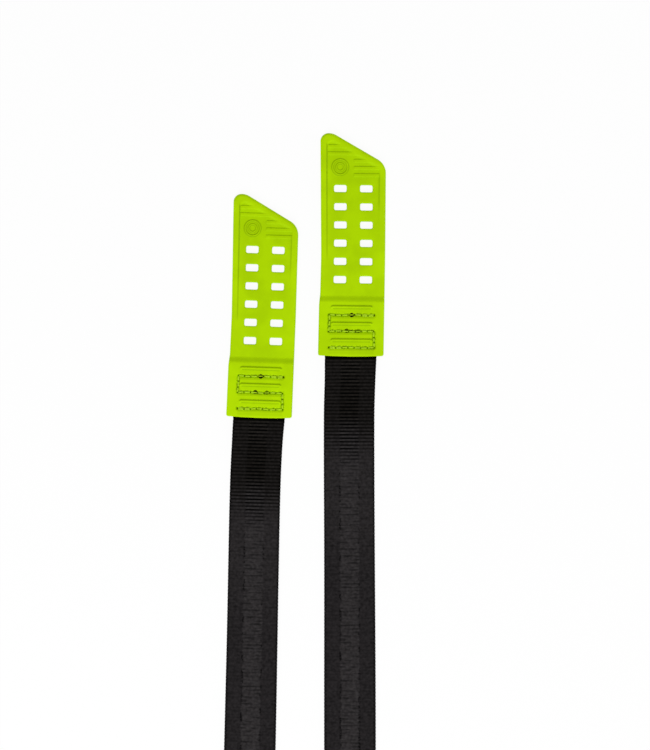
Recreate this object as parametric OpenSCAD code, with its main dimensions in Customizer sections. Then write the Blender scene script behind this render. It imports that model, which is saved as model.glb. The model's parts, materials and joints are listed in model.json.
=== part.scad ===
// Pair of ladder-ended binding straps for crampons, laid flat side by side.
// Each strap is a woven webbing whose end is sewn into a moulded urethane tab.
// The tab's two columns of windows hang on a two-pronged hook.
// Millimetres, +Z up, +Y towards the tab tips, z = 0 is the surface the straps lie on.
// The origin is the bottom centre of the pair's bounding box.

/* [Tab outline] */
// height of the uncut shoulder corner above the mouth, on the right side
shoulder_y = 95.8; // [85:0.1:130]
// how far the uncut tip corner, on the left side, stands above the shoulder corner
tip_rise = 18.55; // [10:0.05:40]
// width across the ladder at its top
ladder_w = 32.7; // [29:0.1:45]
// width across the waist, among the windows
waist_w = 31.8; // [28.5:0.1:44]
// height of the waist above the mouth
waist_y = 50; // [40:0.5:65]
// wall between the webbing slot and the sides of the base
side_wall = 3.55; // [1.5:0.05:8]
// length of the level top of the tip, between its two radii
tip_flat = 0.32; // [0.2:0.02:6]
// corner radius of the tip, on its outer side
tip_r = 4; // [1:0.1:4]
// radius that blends the top of the tip into the slanted end
tip_bend_r = 7; // [2:0.1:7]
// corner radius of the shoulder
shoulder_r = 8; // [1:0.1:12]
// corner radius beside the mouth
mouth_r = 1; // [0.4:0.1:3]
// how far the corners beside the mouth lie above its middle
mouth_bow = 0.45; // [0:0.05:1.5]
// radius that blends the waist into the edges
waist_r = 120; // [20:5:200]
// how far the waist and its windows bow sideways, towards the shoulder
bow = 0.42; // [0:0.02:1.2]
// distance from the waist to where the bow has died out
bow_span = 40; // [20:1:60]
// how far the base stands out beyond the ladder, on the tip's side
base_step = 0.5; // [0:0.05:1.2]
// how far the base's middle lies off the webbing's, towards the tip's side
base_shift = 0.25; // [0:0.05:0.6]
// how far the slanted end's middle lies off the webbing's, towards the tip's side
end_shift = 0.17; // [0:0.01:0.6]

/* [Tab thickness] */
// thickness of the ladder
ladder_t = 2.8; // [2:0.1:4.5]
// wall between the webbing slot and the front of the base
front_wall = 1.3; // [1:0.05:2.5]
// wall between the webbing slot and the back of the base
back_wall = 1.2; // [1:0.05:2.5]
// how far the face of the base reaches beyond the webbing slot
base_margin = 2.6; // [1:0.1:10]
// length of the ramp from base to ladder
ramp_len = 3.6; // [1:0.1:8]

/* [Hook windows] */
// rows of windows
window_rows = 6; // [2:1:8]
// width of a window
window_w = 6.2; // [4:0.1:9]
// height of a window
window_h = 3.6; // [2.5:0.1:6]
// corner radius of a window
window_r = 0.9; // [0.2:0.1:1.5]
// distance between the two columns, centre to centre
column_pitch = 12.9; // [9:0.1:18]
// distance between rows, centre to centre
row_pitch = 9.05; // [6:0.05:12]
// height of the lowest row above the mouth
first_row_y = 38.2; // [33:0.1:60]

/* [Tip panel] */
// width of the rim round the recessed panel
rim_w = 3.3; // [1.5:0.1:5]
// depth of the panel below the rim, at the tip
panel_d = 0.6; // [0.2:0.05:1.2]
// height above the mouth where the panel's floor comes up to the ladder's face
panel_y = 55; // [45:1:80]
// height above the mouth where the panel reaches its full depth
panel_deep_y = 88; // [70:1:100]
// corner radius of the panel
panel_r = 2.4; // [0.4:0.1:3]
// fine ridges on the panel
ridge_count = 5; // [1:1:7]
// how many of them, from the top, start at the left rim
ridge_long = 2; // [0:1:4]
// height of the lowest ridge above the mouth
ridge_y = 90.05; // [85:0.05:110]
// distance between ridges
ridge_pitch = 3.56; // [2:0.02:6]
// width of a ridge
ridge_w = 1.7; // [0.3:0.05:2]
// height of a ridge above the panel's floor
ridge_h = 0.35; // [0.1:0.05:0.6]
// centre of the plain round boss, across the tab
boss_x = -6.5; // [-12:0.1:12]
// centre of the plain round boss above the mouth
boss_y = 94; // [88:0.1:110]
// radius of the boss
boss_r = 4.1; // [2:0.1:5]
// width of the boss's ring
boss_ring = 0.7; // [0.3:0.05:1.2]

/* [Base ribs] */
// cross ribs on the base
rib_count = 3; // [1:1:3]
// gap between the end of a rib and the stitch channel beside it
rib_gap = 0.25; // [0.1:0.05:4]
// width of a rib
rib_w = 1.6; // [0.8:0.1:3]
// height of a rib above the base
rib_h = 0.5; // [0.2:0.05:1]
// height of the lowest rib above the lowest row of stitches
rib_rise = 3.6; // [2.5:0.1:5]
// how much wider the ribs are spaced than the rows of stitches
rib_spread = 0.15; // [0:0.05:0.4]

/* [Seam] */
// how far the seam's turns lie inside the edges of the webbing
seam_edge = 1.4; // [1:0.1:4]
// height of the lowest row of stitches above the mouth
seam_y = 4.5; // [3:0.1:6]
// distance between rows of stitches
seam_pitch = 8.05; // [6:0.05:10]
// stitches in a row
row_stitches = 7; // [4:1:10]
// stitches in the turn from one row to the next
turn_stitches = 3; // [1:1:4]
// width of the moulded stitch channel
channel_w = 1.7; // [1.2:0.1:2.5]
// depth of the stitch channel on the front
channel_d = 0.5; // [0.3:0.05:0.9]
// outer corner radius of the stitch channel
channel_r = 1.5; // [0.3:0.1:2]
// radius of the thread
thread_r = 0.3; // [0.2:0.02:0.45]
// radius of the core-pin holes that show the webbing
pin_hole_r = 0.8; // [0.4:0.1:1.2]

/* [Webbing] */
// width of the webbing
web_w = 25; // [20:0.5:32]
// thickness of the webbing
web_t = 1.6; // [1:0.1:2.5]
// how far the sewn end reaches beyond the top row of stitches
sewn_margin = 3.4; // [1.5:0.1:8]
// free length, from the fold at the mouth to the cut end
free_len = 275; // [150:5:600]
// length over which the webbing comes down from the mouth to the surface
drape_len = 26; // [10:1:60]

/* [Fits] */
// gap between the webbing and the slot's front and back
slot_gap = 0.1; // [0.05:0.05:0.4]
// gap between the webbing and the slot's sides and inner end
slot_side_gap = 0.2; // [0.05:0.05:0.6]
// gap between a thread and the hole or channel it lies in
thread_gap = 0.05; // [0.02:0.01:0.1]
// gap between the mouth and the webbing's fold
fold_gap = 0.4; // [0.3:0.05:1]

/* [Layout of the pair] */
// how far the left strap's mouth lies to the left of the right one's
pair_dx = 45.5; // [40:0.5:120]
// how far the left strap's mouth lies below the right one's
pair_dy = 30.4; // [0:0.5:60]
// clockwise turn of the right tab, degrees
right_turn = 0.65; // [-5:0.05:5]
// clockwise turn of the right webbing, degrees
right_web_turn = 0; // [-5:0.05:5]
// clockwise turn of the left tab, degrees
left_turn = 1.9; // [-5:0.05:5]
// clockwise turn of the left webbing, degrees
left_web_turn = 1.5; // [-5:0.05:5]

/* [Hidden] */
$fn = 64;
lime = [0.66, 0.83, 0.02];
black = [0.13, 0.13, 0.13];
cut = 1;
step_r = 20;
mouth_bow_r = 70;

// the seam lies inside the webbing, and the base round the seam
seam_x = web_w / 2 - seam_edge;
seam_rows = [seam_y + 2 * seam_pitch, seam_y + seam_pitch, seam_y];
sewn_len = seam_rows[0] + sewn_margin;
rib_len = 2 * (seam_x - channel_w / 2 - rib_gap);
rib_y = seam_y + rib_rise;
rib_pitch = seam_pitch + rib_spread;
base_w = web_w + 2 * (slot_side_gap + side_wall);
ramp_y = sewn_len + slot_side_gap + base_margin;
tip_y = shoulder_y + tip_rise;

// heights through the base
slot_z = back_wall;
slot_h = web_t + 2 * slot_gap;
base_t = back_wall + slot_h + front_wall;
web_z = slot_z + slot_h / 2;
slot_len = sewn_len + slot_side_gap;
// the fold is an axis across the webbing, just outside the mouth
fold_y = -(web_t / 2 + fold_gap);

// heights of the two runs of thread, which lie on the floors of their channels
knot_r = thread_r + 0.04;
leg_r = thread_r - 0.04;
needle_z = base_t - channel_d + knot_r + thread_gap;
bobbin_z = knot_r + thread_gap;
// the back channel takes the whole thread, so that the tab lies flat
back_channel_d = bobbin_z + knot_r + thread_gap;

// the tip's corner is cut level, low enough to take the two radii side by side
slant_angle = atan((tip_y - shoulder_y) / ladder_w);
tip_drop = (tip_r + tip_bend_r * tan(slant_angle / 2) + tip_flat) * tan(slant_angle);

// bounding box of the pair about the right strap's mouth
box_left = -pair_dx - web_w / 2 * cos(left_web_turn) - free_len * sin(left_web_turn);
box_right = ladder_w / 2 * cos(right_turn) + shoulder_y * sin(right_turn);
box_top = (tip_y - tip_drop) * cos(right_turn) + (ladder_w / 2 - tip_r) * sin(right_turn);
box_low = -pair_dy + fold_y - free_len * cos(left_web_turn);
right_at = [-(box_left + box_right) / 2, -(box_top + box_low) / 2, 0];
left_at = right_at + [-pair_dx, -pair_dy, 0];

// height of the slanted end at a distance x from the centre line
function slant(x) = tip_y + (shoulder_y - tip_y) * (x + end_shift + ladder_w / 2) / ladder_w;

function unit(v) = v / norm(v);
function xy(p) = [p[0], p[1]];

// points of an outline whose corners [x, y, radius] are rounded
function rounded(c) = [
  for (i = [0 : len(c) - 1])
    let (
      p = xy(c[i]),
      u = unit(xy(c[(i + len(c) - 1) % len(c)]) - p),
      v = unit(xy(c[(i + 1) % len(c)]) - p),
      half = acos(u * v) / 2,
      m = p + unit(u + v) * c[i][2] / sin(half),
      a = p + u * c[i][2] / tan(half) - m,
      b = p + v * c[i][2] / tan(half) - m,
      from = atan2(a[1], a[0]),
      sweep = (atan2(b[1], b[0]) - from + 540) % 360 - 180,
      steps = max(1, ceil(abs(sweep) / 11))
    )
    for (k = [0 : steps])
      m + c[i][2] * [cos(from + sweep * k / steps), sin(from + sweep * k / steps)]
];

// a shape drawn as [y, z] points, carried along X, centred
module along_x(length, points) {
  translate([-length / 2, 0, 0])
    rotate([90, 0, 90])
      linear_extrude(length)
        polygon(points);
}

module rounded_block(w, h, r, t) {
  linear_extrude(t)
    polygon(rounded([[-w / 2, -h / 2, r], [w / 2, -h / 2, r], [w / 2, h / 2, r], [-w / 2, h / 2, r]]));
}

// sideways bow of the ladder at a height y
function bow_at(y) = bow * max(0, 1 - pow((y - waist_y) / bow_span, 2));

// the shoulder's side is nearly straight; the tip's side is hollow and steps out at the base
function tab_outline() = rounded([
  [-base_w / 2 - base_shift, mouth_bow, mouth_r],
  [-base_w / 4 - base_shift, mouth_bow / 4, mouth_bow_r],
  [-base_shift, 0, mouth_bow_r],
  [base_w / 4 - base_shift, mouth_bow / 4, mouth_bow_r],
  [base_w / 2 - base_shift, mouth_bow, mouth_r],
  [waist_w / 2 + bow, waist_y, waist_r],
  [ladder_w / 2 - end_shift, shoulder_y, shoulder_r],
  [-ladder_w / 2 - end_shift + tip_drop / tan(slant_angle), tip_y - tip_drop, tip_bend_r],
  [-ladder_w / 2 - end_shift, tip_y - tip_drop, tip_r],
  [-waist_w / 2 + bow, waist_y, waist_r],
  [-waist_w / 2 + bow - base_step / 2, ramp_y + ramp_len + 1, step_r],
  [-base_w / 2 - base_shift + base_step / 2, ramp_y - 1, step_r]
]);

// side view: thick sewn base, ramp, thin ladder
function tab_profile() = [
  [-cut, 0],
  [tip_y + cut, 0],
  [tip_y + cut, ladder_t],
  [ramp_y + ramp_len, ladder_t],
  [ramp_y, base_t],
  [-cut, base_t]
];

module panel_area(height) {
  x = ladder_w / 2 - rim_w;
  drop = rim_w / cos(slant_angle);
  linear_extrude(height)
    polygon(rounded([
      [-x, panel_y - cut, panel_r],
      [x, panel_y - cut, panel_r],
      [x, slant(x) - drop, panel_r],
      [-x, slant(-x) - drop, panel_r]
    ]));
}

// the panel's floor rises to the face of the ladder
module panel_recess() {
  intersection() {
    panel_area(ladder_t + cut);
    along_x(ladder_w, [
      [panel_y, ladder_t],
      [panel_deep_y, ladder_t - panel_d],
      [tip_y, ladder_t - panel_d],
      [tip_y, ladder_t + cut],
      [panel_y, ladder_t + cut]
    ]);
  }
}

// the upper ridges start at the left rim, the others at the centre line
module panel_ridges() {
  floor_z = ladder_t - panel_d;
  intersection() {
    panel_area(ladder_t);
    for (i = [0 : ridge_count - 1]) {
      from_left = i >= ridge_count - ridge_long;
      start = from_left ? -ladder_w / 2 : 0;
      translate([start, ridge_y + i * ridge_pitch - ridge_w / 2, floor_z - ridge_h])
        cube([ladder_w / 2 - start, ridge_w, 2 * ridge_h]);
    }
  }
}

module panel_boss() {
  floor_z = ladder_t - panel_d;
  intersection() {
    panel_area(ladder_t);
    translate([boss_x, boss_y, floor_z - ridge_h])
      difference() {
        cylinder(h = 2 * ridge_h, r = boss_r);
        translate([0, 0, -cut])
          cylinder(h = 2 * ridge_h + 2 * cut, r = boss_r - boss_ring);
      }
  }
}

module at_windows() {
  for (row = [0 : window_rows - 1])
    for (side = [-1, 1])
      translate([
        side * column_pitch / 2 + bow_at(first_row_y + row * row_pitch),
        first_row_y + row * row_pitch,
        0
      ])
        children();
}

module base_ribs() {
  for (i = [0 : rib_count - 1])
    translate([0, rib_y + i * rib_pitch, base_t - rib_h])
      rounded_block(rib_len, rib_w, rib_w * 0.49, 2 * rib_h);
}

// corners of the seam, from its upper right start to its lower left end
seam_corners = [
  [seam_x, seam_rows[0]], [-seam_x, seam_rows[0]],
  [-seam_x, seam_rows[1]], [seam_x, seam_rows[1]],
  [seam_x, seam_rows[2]], [-seam_x, seam_rows[2]]
];
seam_counts = [row_stitches, turn_stitches, row_stitches, turn_stitches, row_stitches];
seam_holes = concat(
  [
    for (i = [0 : 4])
      for (k = [0 : seam_counts[i] - 1])
        seam_corners[i] + (seam_corners[i + 1] - seam_corners[i]) * k / seam_counts[i]
  ],
  [seam_corners[5]]
);

module stitch_channel(depth) {
  h = channel_w / 2;
  x = seam_x;
  y = seam_rows;
  inner_r = max(0.2, channel_r - channel_w);
  linear_extrude(depth)
    polygon(rounded([
      [-x - h, y[0] + h, channel_r],
      [-x - h, y[1] - h, channel_r],
      [x - h, y[1] - h, inner_r],
      [x - h, y[2] + h, inner_r],
      [-x - h, y[2] + h, h * 0.9],
      [-x - h, y[2] - h, h * 0.9],
      [x + h, y[2] - h, channel_r],
      [x + h, y[1] + h, channel_r],
      [-x + h, y[1] + h, inner_r],
      [-x + h, y[0] - h, inner_r],
      [x + h, y[0] - h, h * 0.9],
      [x + h, y[0] + h, h * 0.9]
    ]));
}

module needle_holes(r) {
  for (p = seam_holes)
    translate([p[0], p[1], -cut])
      cylinder(h = base_t + rib_h + 2 * cut, r = r);
}

// the three core pins stand midway between stitches: one in the top row, two in the middle row
module pin_holes() {
  step = 2 * seam_x / row_stitches;
  for (p = [[0, seam_rows[0]], [-step, seam_rows[1]], [step, seam_rows[1]]])
    translate([p[0], p[1], web_z])
      cylinder(h = base_t, r = pin_hole_r);
}

module tab() {
  color(lime)
    difference() {
      union() {
        difference() {
          intersection() {
            linear_extrude(base_t)
              polygon(tab_outline());
            along_x(base_w + ladder_w, tab_profile());
          }
          panel_recess();
        }
        panel_ridges();
        panel_boss();
        base_ribs();
      }
      at_windows()
        translate([0, 0, -cut])
          rounded_block(window_w, window_h, window_r, base_t + 2 * cut);
      translate([-web_w / 2 - slot_side_gap, -cut, slot_z])
        cube([web_w + 2 * slot_side_gap, slot_len + cut, slot_h]);
      translate([0, 0, base_t - channel_d])
        stitch_channel(channel_d + cut);
      translate([0, 0, -cut])
        stitch_channel(back_channel_d + cut);
      needle_holes(leg_r + thread_gap);
      pin_holes();
    }
}

// the end of the webbing inside the slot, pierced by the seam and flush with the middle of the mouth
module webbing_end() {
  color(black)
    difference() {
      translate([-web_w / 2, 0, web_z - web_t / 2])
        cube([web_w, sewn_len, web_t]);
      needle_holes(leg_r + thread_gap);
    }
}

// height of the free webbing's middle at a distance s from the fold
function web_mid(s) =
  let (k = min(1, s / drape_len)) web_z - (web_z - web_t / 2) * k * k * (3 - 2 * k);

// the free webbing starts at a round fold, comes down to the surface and lies flat
module webbing(lean) {
  steps = [for (k = [0 : 14]) drape_len * k / 14];
  runs = concat(steps, [free_len]);
  color(black)
    translate([0, fold_y, 0])
      union() {
        translate([-web_w / 2, 0, web_z])
          rotate([0, 90, 0])
            cylinder(h = web_w, r = web_t / 2);
        rotate([0, 0, lean])
          along_x(web_w, concat(
            [for (s = runs) [-s, web_mid(s) + web_t / 2 * (s == 0 ? 0.96 : 1)]],
            [for (i = [len(runs) - 1 : -1 : 0]) [-runs[i], web_mid(runs[i]) - web_t / 2 * (i == 0 ? 0.96 : 1)]]
          ));
      }
}

// one thread of the lockstitch: a run along the channel with a leg down each needle hole
module thread(run_z, leg_end) {
  low = min(run_z, leg_end);
  color(lime)
    union() {
      for (p = seam_holes) {
        translate([p[0], p[1], run_z])
          sphere(r = knot_r);
        translate([p[0], p[1], low])
          cylinder(h = abs(run_z - leg_end), r = leg_r);
      }
      for (i = [0 : len(seam_holes) - 2]) {
        d = seam_holes[i + 1] - seam_holes[i];
        translate([seam_holes[i][0], seam_holes[i][1], run_z])
          rotate([0, 0, atan2(d[1], d[0])])
            rotate([0, 90, 0])
              translate([0, 0, thread_r / 3])
                cylinder(h = norm(d) - thread_r * 2 / 3, r = thread_r);
      }
    }
}

module needle_thread() {
  thread(needle_z, web_z + thread_gap / 2);
}

module bobbin_thread() {
  thread(bobbin_z, web_z - thread_gap / 2);
}

module right_strap() {
  translate(right_at)
    rotate([0, 0, -right_turn])
      children();
}

module left_strap() {
  translate(left_at)
    rotate([0, 0, -left_turn])
      children();
}

module right_tab() {
  right_strap() tab();
}

module right_webbing_end() {
  right_strap() webbing_end();
}

module right_webbing() {
  right_strap() webbing(right_turn - right_web_turn);
}

module right_needle_thread() {
  right_strap() needle_thread();
}

module right_bobbin_thread() {
  right_strap() bobbin_thread();
}

module left_tab() {
  left_strap() tab();
}

module left_webbing_end() {
  left_strap() webbing_end();
}

module left_webbing() {
  left_strap() webbing(left_turn - left_web_turn);
}

module left_needle_thread() {
  left_strap() needle_thread();
}

module left_bobbin_thread() {
  left_strap() bobbin_thread();
}

right_tab();
right_webbing_end();
right_webbing();
right_needle_thread();
right_bobbin_thread();
left_tab();
left_webbing_end();
left_webbing();
left_needle_thread();
left_bobbin_thread();
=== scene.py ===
# %% [markdown]
# # A pair of ladder-ended binding straps
# Each strap is a length of black woven webbing with a lime urethane tab sewn to its end. The tab is a
# ladder of windows that hangs on a two-pronged hook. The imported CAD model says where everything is, and
# this script gives each piece the moulded, woven or twisted surface that the real one has.

# %% Load the frame
import json
import bpy
import numpy as np
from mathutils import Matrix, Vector


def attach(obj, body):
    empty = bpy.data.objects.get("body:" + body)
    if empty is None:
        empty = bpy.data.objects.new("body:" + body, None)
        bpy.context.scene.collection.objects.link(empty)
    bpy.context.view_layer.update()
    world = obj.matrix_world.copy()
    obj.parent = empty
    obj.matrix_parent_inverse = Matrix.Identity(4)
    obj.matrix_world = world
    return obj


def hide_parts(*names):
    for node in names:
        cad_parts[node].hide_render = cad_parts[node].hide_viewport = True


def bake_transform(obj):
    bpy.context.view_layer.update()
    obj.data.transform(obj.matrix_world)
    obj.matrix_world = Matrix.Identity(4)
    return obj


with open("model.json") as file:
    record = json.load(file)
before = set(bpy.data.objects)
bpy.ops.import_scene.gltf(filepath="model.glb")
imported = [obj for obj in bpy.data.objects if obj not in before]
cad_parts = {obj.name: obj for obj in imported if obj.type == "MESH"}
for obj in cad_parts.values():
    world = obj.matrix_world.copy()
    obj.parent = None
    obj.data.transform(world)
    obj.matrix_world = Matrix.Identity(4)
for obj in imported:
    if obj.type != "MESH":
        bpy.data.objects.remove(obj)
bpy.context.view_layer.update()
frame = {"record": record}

scene = bpy.context.scene
scene.view_settings.view_transform = "Standard"

# %% [markdown]
# ## One drawing, laid down twice
# Both straps are the same product, lying at slightly different angles. So every shape is drawn once, in
# millimetres, with the tab's mouth at the origin and its tip along +y. The fold joint of each strap gives
# the place and the turn: its axis runs across the webbing, just outside the mouth. Points could be turned
# by an object's matrix, but a finished piece stays at the origin, so the drawing itself is carried over.

# %% Where each strap lies
MM = 0.001
STRAPS = ("right", "left")
FOLD_Y = -1.2
JOINTS = {joint["name"]: joint for joint in frame["record"]["behaviour"]["joints"]}


def laid(strap, drawing):
    """Drawing points (..., 3), mm, to the frame, m: the mouth + x along the fold axis + y square to it."""
    fold = JOINTS[f"{strap}_webbing_fold"]
    across = np.array(fold["axis"][:2])
    along = np.array([-across[1], across[0]])
    mouth = np.array(fold["pos_m"][:2]) - along * FOLD_Y * MM
    flat = mouth + MM * (drawing[..., :1] * across + drawing[..., 1:2] * along)
    return np.concatenate([flat, drawing[..., 2:] * MM], axis=-1)


for strap in STRAPS:
    print(strap, "mouth at, mm:", np.round(laid(strap, np.zeros(3)) * 1000, 2).tolist())

# %% [markdown]
# ## From arrays to meshes
# All pieces here are quads over arrays of points. `from_pydata` takes lists, which is slow for tens of
# thousands of points, so `foreach_set` hands over the arrays whole. Values that belong to a point, such as
# how deep it lies in a hole, go along as attributes for the materials to read.

# %% Mesh helper
CRISP_DEGREES = 60


def make_piece(name, points, quads, marks):
    """A smooth mesh of quads from points in metres, with an attribute per mark; steep edges stay crisp."""
    mesh = bpy.data.meshes.new(name)
    mesh.vertices.add(len(points))
    mesh.vertices.foreach_set("co", np.ascontiguousarray(points, np.float32).ravel())
    mesh.loops.add(quads.size)
    mesh.loops.foreach_set("vertex_index", np.ascontiguousarray(quads, np.int32).ravel())
    mesh.polygons.add(len(quads))
    mesh.polygons.foreach_set("loop_start", np.arange(0, quads.size, 4, dtype=np.int32))
    mesh.update(calc_edges=True)
    mesh.validate()
    mesh.shade_smooth()
    mesh.set_sharp_from_angle(angle=np.radians(CRISP_DEGREES))
    for key, values in marks.items():
        kind, field = ("FLOAT", "value") if values.ndim == 1 else ("FLOAT_VECTOR", "vector")
        mark = mesh.attributes.new(key, kind, "POINT")
        mark.data.foreach_set(field, np.ascontiguousarray(values, np.float32).ravel())
    piece = bpy.data.objects.new(name, mesh)
    scene.collection.objects.link(piece)
    print(f"{name}: {len(points)} points, {2 * len(quads)} triangles")
    return piece


# %% [markdown]
# ## Two curves for soft shapes
# A moulding has hardly a sharp step, so nearly all of its shape is drawn with two curves: one that rises
# from 0 to 1, and one that rises and falls again. Blender's bevels could round the steps later, but a
# curve in the formula rounds each of them by its own amount.

# %% Soft curves
def smooth(t):
    """0 below 0, 1 above 1, and the S curve 3t^2 - 2t^3 between."""
    t = np.clip(t, 0, 1)
    return t * t * (3 - 2 * t)


def bump(t):
    """A soft ridge: (1 - t^2)^2 for t within 1, 0 outside."""
    return np.clip(1 - t * t, 0, 1) ** 2


print("smooth and bump at a quarter:", smooth(0.25), bump(0.25))

# %% [markdown]
# ## The tab's outline
# The tab is a flat moulding: a wide base, a slight waist, a ladder and a slanted end with one tight and
# one easy corner. Its outline is a polygon whose corners are replaced by arcs. A signed distance to that
# outline, negative inside, then tells every point of a grid how far from the edge it is, which is all that
# a mould maker's fillet needs. The shoulder's side is nearly straight, while the tip's side is hollow and
# steps out at the base, so the ladder seems to bow a little. The mouth bows out where the webbing fills it.

# %% Distances
def to_sides(p, a, b):
    """Distance of points (n, 2) to the nearest of the straight sides that run from a to b."""
    side, off = b - a, p[:, None] - a
    t = np.clip((off * side).sum(-1) / (side * side).sum(-1), 0, 1)
    return np.sqrt(((off - t[..., None] * side) ** 2).sum(-1)).min(1)


def to_outline(p, loop):
    """Signed distance of points (n, 2) to a loop, negative where a ray leaves it an odd number of times."""
    a, b = loop, np.roll(loop, -1, 0)
    near = to_sides(p, a, b)
    over = (a[:, 1] > p[:, 1:]) != (b[:, 1] > p[:, 1:])
    with np.errstate(divide="ignore", invalid="ignore"):
        cross = a[:, 0] + (b - a)[:, 0] * (p[:, 1:] - a[:, 1]) / (b - a)[:, 1]
    inside = (over & (p[:, :1] < cross)).sum(1) % 2 == 1
    return np.where(inside, -near, near)


def to_path(p, path):
    """Distance of points (n, 2) to an open path (m, 2)."""
    return to_sides(p, path[:-1], path[1:])


def nearest(p, spots):
    """Distance of points (n, 2) to the nearest of the spots."""
    return np.sqrt(((p[:, None] - spots) ** 2).sum(-1)).min(1)


print("distance of (3, 4) from the origin:", nearest(np.array([[3.0, 4.0]]), np.zeros((1, 2))))

# %% Outline
LADDER_W, WAIST_W, BASE_W = 32.7, 31.8, 32.5
TIP_Y, TIP_DROP, SHOULDER_Y, WAIST_Y = 114.35, 3.4985, 95.8, 50.0
BOW, BOW_SPAN, BASE_STEP, BASE_SHIFT, END_SHIFT = 0.42, 40.0, 0.5, 0.25, 0.17
RAMP_Y, RAMP_LEN, MOUTH_BOW, STEP_REACH = 26.8, 3.6, 0.45, 1.0
MOUTH_R, MOUTH_BOW_R, WAIST_R, STEP_R = 1.0, 70.0, 120.0, 20.0
SHOULDER_R, TIP_EASE_R, TIP_R, ARC_DEGREES = 8.0, 7.0, 4.0, 4.0
SLANT = (TIP_Y - SHOULDER_Y) / LADDER_W


def rounded(corners):
    """Outline points of corners (x, y, radius): each corner becomes an arc tangent to its two sides."""
    c = np.array(corners, float)
    loop = []
    for p, before, after in zip(c, np.roll(c, 1, 0), np.roll(c, -1, 0)):
        u, v = before[:2] - p[:2], after[:2] - p[:2]
        u, v = u / np.hypot(*u), v / np.hypot(*v)
        half = np.arccos(u @ v) / 2
        middle = p[:2] + (u + v) / np.hypot(*(u + v)) * p[2] / np.sin(half)
        a, b = (p[:2] + w * p[2] / np.tan(half) - middle for w in (u, v))
        start = np.arctan2(a[1], a[0])
        sweep = (np.arctan2(b[1], b[0]) - start + 3 * np.pi) % (2 * np.pi) - np.pi
        steps = max(1, int(np.ceil(abs(np.degrees(sweep)) / ARC_DEGREES)))
        turn = start + sweep * np.linspace(0, 1, steps + 1)
        loop.append(middle + p[2] * np.stack([np.cos(turn), np.sin(turn)], 1))
    return np.concatenate(loop)


TAB_OUTLINE = rounded([
    (-BASE_W / 2 - BASE_SHIFT, MOUTH_BOW, MOUTH_R),
    (-BASE_W / 4 - BASE_SHIFT, MOUTH_BOW / 4, MOUTH_BOW_R),
    (-BASE_SHIFT, 0, MOUTH_BOW_R),
    (BASE_W / 4 - BASE_SHIFT, MOUTH_BOW / 4, MOUTH_BOW_R),
    (BASE_W / 2 - BASE_SHIFT, MOUTH_BOW, MOUTH_R),
    (WAIST_W / 2 + BOW, WAIST_Y, WAIST_R),
    (LADDER_W / 2 - END_SHIFT, SHOULDER_Y, SHOULDER_R),
    (-LADDER_W / 2 - END_SHIFT + TIP_DROP / SLANT, TIP_Y - TIP_DROP, TIP_EASE_R),
    (-LADDER_W / 2 - END_SHIFT, TIP_Y - TIP_DROP, TIP_R),
    (-WAIST_W / 2 + BOW, WAIST_Y, WAIST_R),
    (-WAIST_W / 2 + BOW - BASE_STEP / 2, RAMP_Y + RAMP_LEN + STEP_REACH, STEP_R),
    (-BASE_W / 2 - BASE_SHIFT + BASE_STEP / 2, RAMP_Y - STEP_REACH, STEP_R)])
print("tab outline:", len(TAB_OUTLINE), "points")

# %% [markdown]
# ## The windows
# Twelve rounded windows in two columns take the hook's prongs. They repeat, so a point is folded into one
# window's own frame before its distance is worked out: the sign of x picks the column and rounding y picks
# the row. The distance to a rounded box is the distance to a smaller box, less the corner's radius.

# %% Window distances
WINDOW_W, WINDOW_H, WINDOW_R = 6.2, 3.6, 0.9
COLUMN_PITCH, ROW_PITCH, FIRST_ROW, ROWS = 12.9, 9.05, 38.2, 6


def to_window(p):
    """Signed distance of points (n, 2) to the nearest window, negative inside it."""
    row = np.clip(np.round((p[:, 1] - FIRST_ROW) / ROW_PITCH), 0, ROWS - 1)
    row_y = FIRST_ROW + row * ROW_PITCH
    bowed = p[:, 0] - BOW * np.maximum(0, 1 - ((row_y - WAIST_Y) / BOW_SPAN) ** 2)
    q = np.stack([np.abs(np.abs(bowed) - COLUMN_PITCH / 2) - WINDOW_W / 2 + WINDOW_R,
                  np.abs(p[:, 1] - row_y) - WINDOW_H / 2 + WINDOW_R], 1)
    return np.hypot(*np.maximum(q, 0).T) + np.minimum(q.max(1), 0) - WINDOW_R


print("windows:", 2 * ROWS, "of", WINDOW_W, "by", WINDOW_H, "mm")

# %% [markdown]
# ## The seam
# A lockstitch seam runs to and fro across the base in three rows, in a shallow channel that is moulded for
# it. Seven stitches make a row and three make a turn. A machine never lands quite evenly on soft urethane,
# so each hole strays by up to a fifth of a millimetre each way. The same list of holes serves the pits in
# the tab and the two threads.

# %% Seam holes and channel path
SEAM_X, SEAM_ROWS = 11.1, (20.6, 12.55, 4.5)
ROW_STITCHES, TURN_STITCHES = 7, 3
STRAY, STRAY_STEPS = 0.2, np.array([7.31, 4.77])
SEAM_CORNERS = np.array([(SEAM_X, SEAM_ROWS[0]), (-SEAM_X, SEAM_ROWS[0]), (-SEAM_X, SEAM_ROWS[1]),
                         (SEAM_X, SEAM_ROWS[1]), (SEAM_X, SEAM_ROWS[2]), (-SEAM_X, SEAM_ROWS[2])])
stitches = (ROW_STITCHES, TURN_STITCHES, ROW_STITCHES, TURN_STITCHES, ROW_STITCHES)
even_holes = np.concatenate(
    [a + (b - a) * np.linspace(0, 1, n, endpoint=False)[:, None]
     for a, b, n in zip(SEAM_CORNERS, SEAM_CORNERS[1:], stitches)] + [SEAM_CORNERS[-1:]])
SEAM_HOLES = even_holes + STRAY * np.sin(np.arange(len(even_holes))[:, None] * STRAY_STEPS)
PIN_HOLES = np.array([(0, SEAM_ROWS[0]), (-2.4, SEAM_ROWS[1] + 0.3), (3.3, SEAM_ROWS[1] + 0.2)])
print("seam:", len(SEAM_HOLES), "holes,", len(SEAM_HOLES) - 1, "stitches")

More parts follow.
